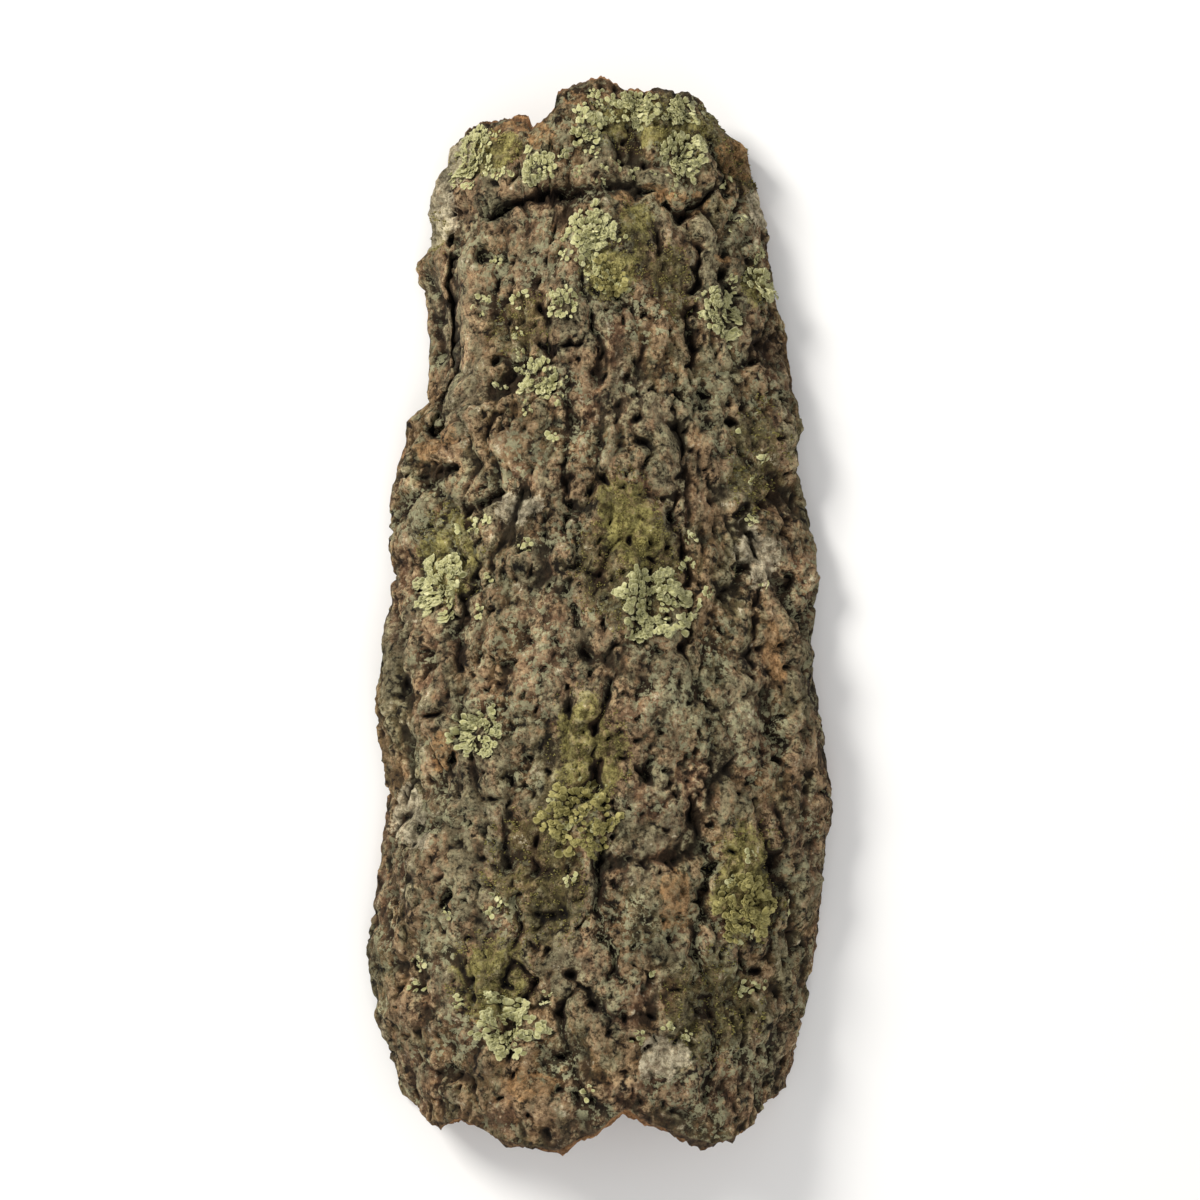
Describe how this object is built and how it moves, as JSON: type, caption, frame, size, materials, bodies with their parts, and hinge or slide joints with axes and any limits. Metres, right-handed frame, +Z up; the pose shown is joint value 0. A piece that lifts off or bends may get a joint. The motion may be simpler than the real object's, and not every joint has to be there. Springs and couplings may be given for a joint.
{
  "type": "cork bark slab",
  "caption": "Arched slab of rough virgin cork bark with fissures, pits and lichen rosettes, lying on its two long edges with a hollow underneath.",
  "frame": {"origin": "the middle of the slab's box, at the level of the surface that it lies on", "axes": "+Y runs up the trunk that the bark grew on, along the slab, +X across it, and +Z is up, away from the wood"},
  "size_m": [0.1904, 0.4335, 0.07],
  "materials": {
    "cork_bark": "rough dark grey-brown outer bark, warm orange-brown where it is broken",
    "pale_lichen": "matt pale grey-green leafy lichen",
    "yellow_lichen": "matt yellow-green leafy lichen"
  },
  "bodies": {
    "root": {"bark_slab": "cork_bark", "lichen_pale_1": "pale_lichen", "lichen_pale_2": "pale_lichen", "lichen_pale_3": "pale_lichen", "lichen_pale_4": "pale_lichen", "lichen_pale_5": "pale_lichen", "lichen_pale_6": "pale_lichen", "lichen_pale_7": "pale_lichen", "lichen_pale_8": "pale_lichen", "lichen_pale_9": "pale_lichen", "lichen_pale_10": "pale_lichen", "lichen_pale_11": "pale_lichen", "lichen_pale_12": "pale_lichen", "lichen_pale_13": "pale_lichen", "lichen_pale_14": "pale_lichen", "lichen_pale_15": "pale_lichen", "lichen_yellow_1": "yellow_lichen", "lichen_yellow_2": "yellow_lichen", "lichen_yellow_3": "yellow_lichen"}
  },
  "joints": []
}
